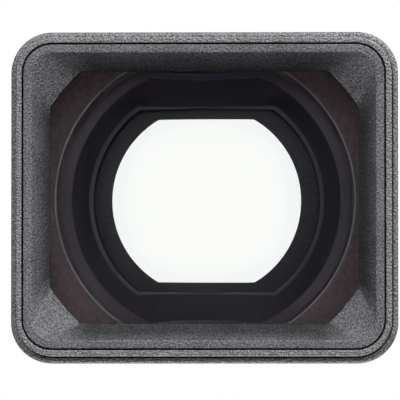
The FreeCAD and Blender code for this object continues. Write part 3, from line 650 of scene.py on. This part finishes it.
@dataclass
class Housing:
    """The two moulded shells and the funnel hood. Lengths in millimetres.

    Parting, rebate, front, ledge, spigot, throat_level, glass_level, floor_front and
    floor_back are levels along the optical axis, from the seat face. Draft is how far the
    rear shell's walls lean in towards its back. The rim is the front shell's wall round
    the hood, the groove the gap between the two, the land the flat ring round the hood's
    mouth and the collar the hood's wall round its throat. Names that end in edge are radii
    of finished edges. Edges of the hood that are longer than straight get run_cuts cuts.
    """

    width: float = 30.0
    height: float = 25.7
    corner: float = 3.2
    draft: float = 0.094
    parting: float = 9.6
    rebate: float = 9.1
    front: float = 12.3
    skirt: float = 1.2
    rim_width: float = 28.98
    rim_height: float = 24.6
    rim_corner: float = 2.8
    gap: float = 0.1
    wall: float = 1.2
    rim: float = 0.47
    groove: float = 0.105
    land: float = 0.62
    ledge: float = 9.9
    spigot: float = 8.4
    throat_width: float = 23.9
    throat_height: float = 19.55
    throat_level: float = 10.1
    throat_cut_x: float = 2.4
    throat_cut_y: float = 2.87
    collar: float = 0.6
    collar_corner: float = 1.8
    straight: float = 5.0
    glass_radius: float = 60.15
    glass_level: float = 10.75
    recess_width: float = 28.0
    recess_height: float = 23.7
    recess_corner: float = 2.2
    floor_front: float = 3.0
    floor_back: float = 0.75
    floor_radius: float = 11.73
    floor_height: float = 19.26
    parting_edge: float = 0.28
    skirt_edge: float = 0.5
    recess_edge: float = 0.1
    lip_edge: float = 0.04
    rim_outer_edge: float = 0.15
    rim_inner_edge: float = 0.08
    land_outer_edge: float = 0.12
    land_inner_edge: float = 0.06
    throat_edge: float = 0.05
    run_cuts: int = 11

    def rear_shell(self) -> bpy.types.Object:
        """Build the drafted rear shell with its lip, skirt, floor and opening.

        Returns:
            The shell.
        """
        lip_width, lip_height = self.rim_width + 2 * self.gap, self.rim_height + 2 * self.gap
        inside_width, inside_height = self.width - 2 * self.wall, self.height - 2 * self.wall
        inside_corner = self.corner - self.wall
        lip_corner = self.rim_corner + self.gap
        rear_width, rear_height = self.width - 2 * self.draft, self.height - 2 * self.draft
        recess = (self.recess_width, self.recess_height, self.recess_corner)
        sections = [
            rounded(self.width, self.height, self.corner, self.parting, self.parting_edge),
            rounded(rear_width, rear_height, self.corner - self.draft, -self.skirt, self.skirt_edge),
            rounded(*recess, -self.skirt, self.recess_edge),
            rounded(*recess, self.floor_back),
            truncated(self.floor_radius, self.floor_height, self.floor_back),
            truncated(self.floor_radius, self.floor_height, self.floor_front),
            rounded(inside_width, inside_height, inside_corner, self.floor_front),
            rounded(inside_width, inside_height, inside_corner, self.rebate),
            rounded(lip_width, lip_height, lip_corner, self.rebate),
            rounded(lip_width, lip_height, lip_corner, self.parting, self.lip_edge),
        ]
        blank = Blank()
        blank.soften(sections, blank.skin(sections))
        return blank.finish("shell_rear", [Finishes.SHELL.material()])

    def front_shell(self) -> bpy.types.Object:
        """Build the front shell: rim, seat for the hood, opening and spigot.

        Returns:
            The shell.
        """
        inner_width, inner_height = self.rim_width - 2 * self.rim, self.rim_height - 2 * self.rim
        inner_corner = self.rim_corner - self.rim
        open_width, open_height = (size + 2 * self.collar + 2 * self.gap
                                   for size in (self.throat_width, self.throat_height))
        open_corner = self.collar_corner + self.gap
        spigot_width, spigot_height = (size - 2 * self.wall - 2 * self.gap
                                       for size in (self.width, self.height))
        spigot_corner = self.corner - self.wall - self.gap
        sections = [
            rounded(self.rim_width, self.rim_height, self.rim_corner, self.rebate),
            rounded(self.rim_width, self.rim_height, self.rim_corner, self.front, self.rim_outer_edge),
            rounded(inner_width, inner_height, inner_corner, self.front, self.rim_inner_edge),
            rounded(inner_width, inner_height, inner_corner, self.ledge),
            rounded(open_width, open_height, open_corner, self.ledge),
            rounded(open_width, open_height, open_corner, self.spigot),
            rounded(spigot_width, spigot_height, spigot_corner, self.spigot),
            rounded(spigot_width, spigot_height, spigot_corner, self.rebate),
        ]
        blank = Blank()
        blank.soften(sections, blank.skin(sections))
        return blank.finish("rim_front", [Finishes.SHELL.material()])

    def hood(self) -> bpy.types.Object:
        """Build the hood: land, sloping walls, cut-cornered throat and a back that follows the glass.

        Returns:
            The hood.
        """
        outer_width, outer_height = (size - 2 * self.rim - 2 * self.groove
                                     for size in (self.rim_width, self.rim_height))
        outer_corner = self.rim_corner - self.rim - self.groove
        mouth_width, mouth_height = outer_width - 2 * self.land, outer_height - 2 * self.land
        back_width, back_height = self.throat_width + 2 * self.collar, self.throat_height + 2 * self.collar
        throat = (Outline.CORNERED, self.throat_width, self.throat_height)
        cuts = (self.throat_cut_x, self.throat_cut_y)
        sections = [
            rounded(outer_width, outer_height, outer_corner, self.ledge),
            rounded(outer_width, outer_height, outer_corner, self.front, self.land_outer_edge),
            rounded(mouth_width, mouth_height, outer_corner - self.land, self.front, self.land_inner_edge),
            Section(*throat, self.throat_level, *cuts, self.throat_edge),
            Section(*throat, 0.0, *cuts),
            rounded(back_width, back_height, self.collar_corner, 0.0),
            rounded(back_width, back_height, self.collar_corner, self.ledge),
        ]
        blank = Blank()
        loops = blank.skin(sections)
        for edges in loops[4:6]:
            for vert in verts_of(edges):
                fall = sag(self.glass_radius, vert.co.xy.length ** 2)
                vert.co.z = min(self.glass_level - fall, self.ledge - MERGE)
        blank.soften(sections, loops)
        # Cut into short lengths, the long edges shade softly near the corners only.
        runs = [edge for edge in blank.bm.edges if edge.calc_length() > self.straight]
        bmesh.ops.subdivide_edges(blank.bm, edges=runs, cuts=self.run_cuts, use_grid_fill=True)
        return blank.finish("hood_funnel", [Finishes.HOOD.material()], weighted=False)

    def build(self) -> None:
        """Build the moulded pieces and put them in their nodes' places."""
        stand_in(self.rear_shell(), "shell", "rear_shell")
        stand_in(self.front_shell(), "shell", "front_shell")
        stand_in(self.hood(), "hood", "hood")


def arc(radius: float, vertex: float, reach: float, steps: int) -> list[Vector]:
    """Follow a spherical surface from the axis outwards.

    Args:
        radius: the sphere's radius, with its centre behind the surface.
        vertex: the surface's level on the axis.
        reach: how far out to go.
        steps: how many steps to take.

    Returns:
        Points as distance from the axis and level.
    """
    points = []
    for number in range(steps + 1):
        out = reach * number / steps
        points.append(Vector((out, vertex - radius + math.sqrt(radius ** 2 - out ** 2))))
    return points


@dataclass
class GlassGroup:
    """Front lens and the bonded pair behind it. Lengths in millimetres.

    Convex, concave and bond_radius are radii of curvature. Front_seat and rear_back are
    the levels of the flat backs of the front and the rear lens, and bowl_edge is the width
    of the ground edge round the front lens's bowl. Bond is the gap within the pair, without
    which the two faces in one place would flicker. Rings and steps are how many facets a
    surface has outwards and round. INKED_REFLECTING and GROUND are material indices.
    """

    front_radius: float = 14.3
    front_width: float = 25.2
    front_height: float = 20.6
    front_level: float = 10.6
    front_thickness: float = 1.2
    front_convex: float = 60.0
    front_concave: float = 18.0
    front_seat: float = 5.3
    bowl_edge: float = 0.13
    pair_radius: float = 10.6
    pair_height: float = 17.0
    middle_level: float = 4.95
    middle_thickness: float = 0.9
    middle_convex: float = 32.0
    bond_radius: float = 28.0
    bond: float = 0.06
    rear_back: float = 1.44
    rings: int = 40
    steps: int = 180

    INKED_REFLECTING = 1
    GROUND = 2

    def front(self) -> bpy.types.Object:
        """Build the front lens: clear faces, inked rim and rear annulus, ground edge of the bowl. The ink's
        brownish tint holds a painted reflection of the coating.

        Returns:
            The lens.
        """
        bowl_level = self.front_level - self.front_thickness
        depth = bowl_level - self.front_seat - self.bowl_edge
        bowl_reach = math.sqrt(self.front_concave ** 2 - (self.front_concave - depth) ** 2)
        dome = arc(self.front_convex, self.front_level, self.front_radius, self.rings)
        bowl = arc(self.front_concave, bowl_level, bowl_reach, self.rings)
        annulus = [Vector((reach, self.front_seat))
                   for reach in (bowl_reach + self.bowl_edge, self.front_radius)]
        blank = Blank()
        blank.turn(dome + list(reversed(bowl + annulus)), self.steps)
        for direction, size in (((1, 0, 0), self.front_width), ((0, 1, 0), self.front_height)):
            blank.slice_off(direction, size / 2)
            blank.slice_off(tuple(-part for part in direction), size / 2)
        blank.bm.normal_update()
        for face in blank.bm.faces:
            centre = face.calc_center_median()
            reach = centre.xy.length
            on_seat = abs(centre.z - self.front_seat) < MERGE and reach > bowl_reach
            if on_seat or abs(face.normal.z) < SIDE_SLOPE:
                face.material_index = self.INKED_REFLECTING
            elif centre.z < self.front_seat + self.bowl_edge:
                face.material_index = self.GROUND
        materials = [Finishes.FRONT_GLASS.material(), Finishes.INK_AND_REFLECTION.material(), Finishes.GROUND.material()]
        return blank.finish("glass_front", materials)

    def paired(self, name: str, front: list[Vector], back: list[Vector],
               glass: CoatedGlass) -> bpy.types.Object:
        """Build one lens of the bonded pair.

        Args:
            name: the piece's name.
            front: front surface, from the axis outwards.
            back: rear surface, from the axis outwards.
            glass: its glass.

        Returns:
            The lens, with an inked rim, its ink colour partly a painted reflection.
        """
        blank = Blank()
        blank.turn(front + list(reversed(back)), self.steps)
        blank.slice_off((0, 1, 0), self.pair_height / 2)
        blank.slice_off((0, -1, 0), self.pair_height / 2)
        blank.bm.normal_update()
        for face in blank.bm.faces:
            if abs(face.normal.z) < SIDE_SLOPE:
                face.material_index = self.INKED_REFLECTING
        return blank.finish(name, [glass.material(), Finishes.INK_AND_REFLECTION.material()])

    def build(self) -> None:
        """Build the lenses and put them in their nodes' places."""
        bond_level = self.middle_level - self.middle_thickness
        front = arc(self.middle_convex, self.middle_level, self.pair_radius, self.rings)
        bond_front = arc(self.bond_radius, bond_level, self.pair_radius, self.rings)
        bond_back = arc(self.bond_radius - self.bond, bond_level - self.bond, self.pair_radius, self.rings)
        flat = [Vector((0.0, self.rear_back)), Vector((self.pair_radius, self.rear_back))]
        stand_in(self.front(), "front_glass", "front_lens")
        middle = self.paired("glass_middle", front, bond_front, Finishes.REAR_GLASS)
        stand_in(middle, "rear_glass", "middle_lens")
        rear = self.paired("glass_rear", bond_back, flat, Finishes.LAST_GLASS)
        stand_in(rear, "rear_glass", "rear_lens")


@dataclass
class Baffle:
    """The front spacer with its stepped, truncated light baffle. Lengths in millimetres.

    The mouth is the baffle's opening at the front, the foot the one at the back, chamfered
    down to the lens that it rests on, and the nose the outside round the foot. EDGE is the
    material index of the chamfer, whose lighter finish is a painted highlight.
    """

    outer_radius: float = 12.2
    outer_height: float = 20.6
    front: float = 5.17
    back: float = 3.8
    nose_radius: float = 10.57
    nose_height: float = 16.94
    mouth_radius: float = 10.77
    mouth_height: float = 19.7
    foot_radius: float = 10.15
    foot_height: float = 16.4
    foot: float = 3.9
    chamfer: float = 0.12
    front_edge: float = 0.03
    lens_convex: float = GlassGroup.middle_convex
    lens_level: float = GlassGroup.middle_level
    steps: int = 55

    EDGE = 1

    def build(self) -> None:
        """Build the spacer: flange, sloping baffle and a foot that rests on the lens behind it."""
        sections = [
            truncated(self.outer_radius, self.outer_height, self.back),
            truncated(self.outer_radius, self.outer_height, self.front, self.front_edge),
            truncated(self.mouth_radius, self.mouth_height, self.front, self.front_edge),
            truncated(self.foot_radius, self.foot_height, self.foot),
            truncated(self.foot_radius - self.chamfer, self.foot_height - 2 * self.chamfer, 0.0),
            truncated(self.nose_radius, self.nose_height, 0.0),
            truncated(self.nose_radius, self.nose_height, self.back),
        ]
        blank = Blank(self.steps)
        loops = blank.skin(sections)
        feet = verts_of(loops[3]) | verts_of(loops[4])
        for edges in loops[-3:-1]:
            for vert in verts_of(edges):
                vert.co.z = self.lens_level - sag(self.lens_convex, vert.co.xy.length_squared)
        # The foot's chamfer takes the lighter finish, a painted highlight.
        for face in blank.bm.faces:
            if all(vert in feet for vert in face.verts):
                face.material_index = self.EDGE
        blank.soften(sections, loops)
        piece = blank.finish("light_baffle", [Finishes.BAFFLE.material(), Finishes.FOOT_HIGHLIGHT.material()])
        stand_in(piece, "baffle", "front_spacer")


@dataclass
class Seat:
    """The rear plate over the magnets and the soft pad that meets the camera. Lengths in millimetres.

    Front is the plate's front level and joint the level where plate and pad meet. Inset and
    margin are how far the pad's outline and window stand back from the plate's.
    """

    width: float = 27.9
    height: float = 23.6
    corner: float = 2.15
    front: float = 0.75
    joint: float = 0.25
    inset: float = 0.05
    window_radius: float = 9.2
    window_height: float = 15.8
    margin: float = 0.4
    edge: float = 0.05
    steps: int = 40

    def sheet(self, name: str, inset: float, margin: float, low: float, high: float,
              finish: GrainedFinish) -> bpy.types.Object:
        """Build one flat sheet with a truncated window.

        Args:
            name: the piece's name.
            inset: how far its outline stands back.
            margin: how far its window's edge stands back.
            low: its rear level.
            high: its front level.
            finish: its finish.

        Returns:
            The sheet.
        """
        outer = (self.width - 2 * inset, self.height - 2 * inset, self.corner - inset)
        window = (self.window_radius + margin, self.window_height + 2 * margin)
        sections = [rounded(*outer, high), rounded(*outer, low, self.edge)]
        sections += [truncated(*window, low, self.edge), truncated(*window, high)]
        blank = Blank(self.steps)
        blank.soften(sections, blank.skin(sections))
        return blank.finish(name, [finish.material()])

    def build(self) -> None:
        """Build plate and pad and put them in their nodes' places."""
        plate = self.sheet("plate_rear", 0.0, 0.0, self.joint, self.front, Finishes.PLATE)
        stand_in(plate, "plate", "rear_plate")
        pad = self.sheet("pad_seat", self.inset, self.margin, 0.0, self.joint, Finishes.PAD)
        stand_in(pad, "pad", "seat_pad")


class PlainNodes:
    """Pieces whose solids already have the right form and only need their finish."""

    FINISHES = {
        "hood_gasket": Finishes.GASKET,
        "front_stop": Finishes.FILM,
        "aperture_stop": Finishes.STOP,
        "lens_barrel": Finishes.BARREL,
        "magnet_upper_right": Finishes.NICKEL,
        "magnet_upper_left": Finishes.NICKEL,
        "magnet_lower_left": Finishes.NICKEL,
        "magnet_lower_right": Finishes.NICKEL,
        "barrel_screws": Finishes.SCREW,
    }

    def dress(self) -> None:
        """Give each node its finish."""
        for name, finish in self.FINISHES.items():
            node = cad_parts[name]
            node.data.materials.clear()
            node.data.materials.append(finish.material())
            LOG.info("%s is finished in %s", name, finish.name)


@dataclass(frozen=True)
class Panel:
    """A soft light panel that faces the converter. Lengths in metres.

    Radiance is how bright its face is, where 1 is white.
    """

    name: str
    place: tuple[float, float, float]
    width: float
    height: float
    radiance: float

    def hang(self) -> None:
        """Hang the panel, unseen through the glass."""
        data = bpy.data.lights.new(self.name, "AREA")
        data.shape = "RECTANGLE"
        data.size, data.size_y = self.width, self.height
        data.energy = self.radiance * math.pi * self.width * self.height
        light = bpy.data.objects.new(self.name, data)
        light.location = self.place
        light.rotation_euler = Vector(self.place).to_track_quat("Z", "Y").to_euler()
        light.visible_transmission = False
        bpy.context.scene.collection.objects.link(light)


@dataclass
class Studio:
    """Floor, white surroundings, soft lights and camera. Lengths in metres, angles in degrees.

    Azimuth, elevation and distance are those of the camera as seen from its aim, and pixel
    is what one pixel of the picture spans there. Sensor is in millimetres. Surround is how
    bright the surroundings are as a light, and mirrored how bright they are in mirrors,
    where 1 is white.
    """

    PANELS = (
        Panel("upper_left_panel", (-0.4, -0.12, 0.42), 0.5, 0.4, 8.0),
        Panel("upper_right_panel", (0.4, -0.12, 0.42), 0.5, 0.4, 28.0),
        Panel("low_panel", (0.0, -0.5, -0.42), 0.9, 0.3, 7.0),
        Panel("under_panel", (0.0, 0.12, -0.5), 0.6, 0.3, 16.0),
        Panel("front_panel", (0.0, -0.62, 0.48), 0.9, 0.2, 36.0),
    )

    azimuth: float = 1.5
    elevation: float = -2.3
    distance: float = 0.4027
    image_pixels: float = 400.0
    pixel: float = 0.07742 * MM
    aim: tuple[float, float, float] = (-0.000344, -0.0096, -0.000186)
    sensor: float = 36.0
    floor_size: float = 3.0
    floor_colour: tuple[float, float, float, float] = (0.86, 0.86, 0.86, 1.0)
    floor_roughness: float = 0.9
    surround: float = 0.2
    mirrored: float = 0.2
    clip: float = 0.01

    def camera(self) -> None:
        """Place the camera, level with the photograph's view."""
        data = bpy.data.cameras.new("camera")
        data.sensor_width = self.sensor
        data.lens = self.sensor * self.distance / (self.pixel * self.image_pixels)
        camera = bpy.data.objects.new("camera", data)
        bpy.context.scene.collection.objects.link(camera)
        turn, rise = math.radians(self.azimuth), math.radians(self.elevation)
        back = Vector((math.sin(turn) * math.cos(rise), -math.cos(turn) * math.cos(rise), math.sin(rise)))
        camera.location = Vector(self.aim) + back * self.distance
        camera.rotation_euler = back.to_track_quat("Z", "Y").to_euler()
        data.clip_start = self.clip
        bpy.context.scene.camera = camera

    def world(self) -> None:
        """Make plain surroundings: white where seen or looked through to, dim as light and in mirrors."""
        world = bpy.data.worlds.new("surroundings")
        world.use_nodes = True
        bpy.context.scene.world = world
        nodes, links = world.node_tree.nodes, world.node_tree.links
        path = nodes.new("ShaderNodeLightPath")
        seen = nodes.new("ShaderNodeMath")
        seen.operation = "MAXIMUM"
        lit = nodes.new("ShaderNodeMapRange")
        lit.inputs["To Min"].default_value = self.surround
        lit.inputs["To Max"].default_value = self.mirrored
        strength = nodes.new("ShaderNodeMix")
        strength.inputs["B"].default_value = 1.0
        links.new(path.outputs["Is Glossy Ray"], lit.inputs["Value"])
        links.new(path.outputs["Is Camera Ray"], seen.inputs[0])
        links.new(path.outputs["Is Transmission Ray"], seen.inputs[1])
        links.new(seen.outputs[0], strength.inputs["Factor"])
        links.new(lit.outputs["Result"], strength.inputs["A"])
        links.new(strength.outputs["Result"], nodes["Background"].inputs["Strength"])
        nodes["Background"].inputs["Color"].default_value = WHITE

    def floor(self) -> None:
        """Lay a pale floor under the converter, which can be looked through from below."""
        bm = bmesh.new()
        bmesh.ops.create_grid(bm, x_segments=1, y_segments=1, size=self.floor_size / 2)
        bmesh.ops.translate(bm, vec=(0, 0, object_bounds()[0].z), verts=bm.verts[:])
        mesh = bpy.data.meshes.new("floor")
        bm.to_mesh(mesh)
        bm.free()
        floor = bpy.data.objects.new("floor", mesh)
        floor.visible_shadow = floor.visible_diffuse = False
        floor.visible_glossy = floor.visible_transmission = False
        bpy.context.scene.collection.objects.link(floor)
        material, shader = start_material("pale_floor")
        nodes, links = material.node_tree.nodes, material.node_tree.links
        shader.inputs["Base Color"].default_value = self.floor_colour
        shader.inputs["Roughness"].default_value = self.floor_roughness
        clear = nodes.new("ShaderNodeBsdfTransparent")
        side = nodes.new("ShaderNodeNewGeometry")
        mix = nodes.new("ShaderNodeMixShader")
        links.new(side.outputs["Backfacing"], mix.inputs["Fac"])
        links.new(shader.outputs["BSDF"], mix.inputs[1])
        links.new(clear.outputs["BSDF"], mix.inputs[2])
        links.new(mix.outputs["Shader"], nodes["Material Output"].inputs["Surface"])
        mesh.materials.append(material)
        floor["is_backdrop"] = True

    def build(self) -> None:
        """Set up the studio."""
        scene = bpy.context.scene
        scene.view_settings.view_transform = "Standard"
        self.camera()
        self.world()
        self.floor()
        for panel in self.PANELS:
            panel.hang()


def main() -> None:
    """Build the converter and the studio round it."""
    logging.basicConfig(level=logging.INFO, format="%(message)s")
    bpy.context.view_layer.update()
    Housing().build()
    GlassGroup().build()
    Baffle().build()
    Seat().build()
    PlainNodes().dress()
    Studio().build()


if __name__ == "__main__":
    main()
